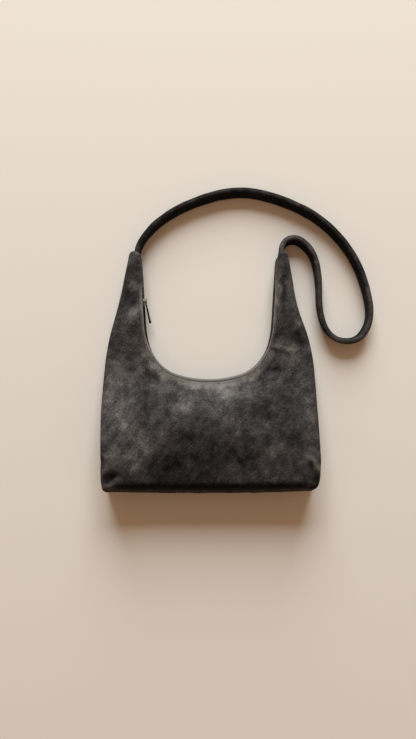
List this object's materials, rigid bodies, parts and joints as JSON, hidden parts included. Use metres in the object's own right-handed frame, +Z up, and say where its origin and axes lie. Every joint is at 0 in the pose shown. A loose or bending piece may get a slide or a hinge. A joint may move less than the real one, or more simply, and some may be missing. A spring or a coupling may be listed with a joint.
{
  "type": "half moon shoulder bag",
  "caption": "Suede half moon shoulder bag on its back: wide base, two tapering horns round a zipped U, and a padded strap from tip to tip.",
  "frame": {"origin": "on the floor under the middle of the bag's body, without its strap, as it lies on its back", "axes": "+Z up out of the front panel, +Y from the base towards the horn tips, +X to the right seen from the front"},
  "size_m": [0.3586, 0.3964, 0.054],
  "materials": {
    "suede": "charcoal suede with a brushed nap",
    "lining": "plain woven cotton",
    "zip_tape": "black woven tape",
    "zip_metal": "polished gunmetal plating",
    "board": "bag board",
    "padding": "felt strap filler"
  },
  "bodies": {
    "bag": {"front_panel": "suede", "back_panel": "suede", "side_wall_left": "suede", "side_wall_right": "suede", "base_panel": "suede", "zip_facing_front": "suede", "zip_facing_back": "suede", "horn_facing_left": "suede", "horn_facing_right": "suede", "strap": "suede", "lining_front": "lining", "lining_back": "lining", "lining_wall": "lining", "zip_tape_front": "zip_tape", "zip_tape_back": "zip_tape", "zip_teeth_front": "zip_metal", "zip_teeth_back": "zip_metal", "zip_teeth_front_run": "zip_metal", "zip_teeth_back_run": "zip_metal", "zip_top_stops": "zip_metal", "zip_bottom_stop": "zip_metal", "base_board": "board", "strap_core": "padding"},
    "slider": {"zip_slider": "zip_metal", "zip_bridge": "zip_metal"},
    "pull": {"zip_pull": "zip_metal"}
  },
  "joints": [
    {"name": "zip_slide", "type": "slide", "parent": "bag", "child": "slider", "axis": [0.0634, -0.998, 0], "range_m": [0, 0.024], "deforming": ["zip_teeth_front_run", "zip_teeth_back_run"]},
    {"name": "pull_swing", "type": "hinge", "parent": "slider", "child": "pull", "pos_m": [-0.08422, 0.09068, 0.0114], "axis": [0, 0, 1], "range_deg": [-6, 162]}
  ]
}
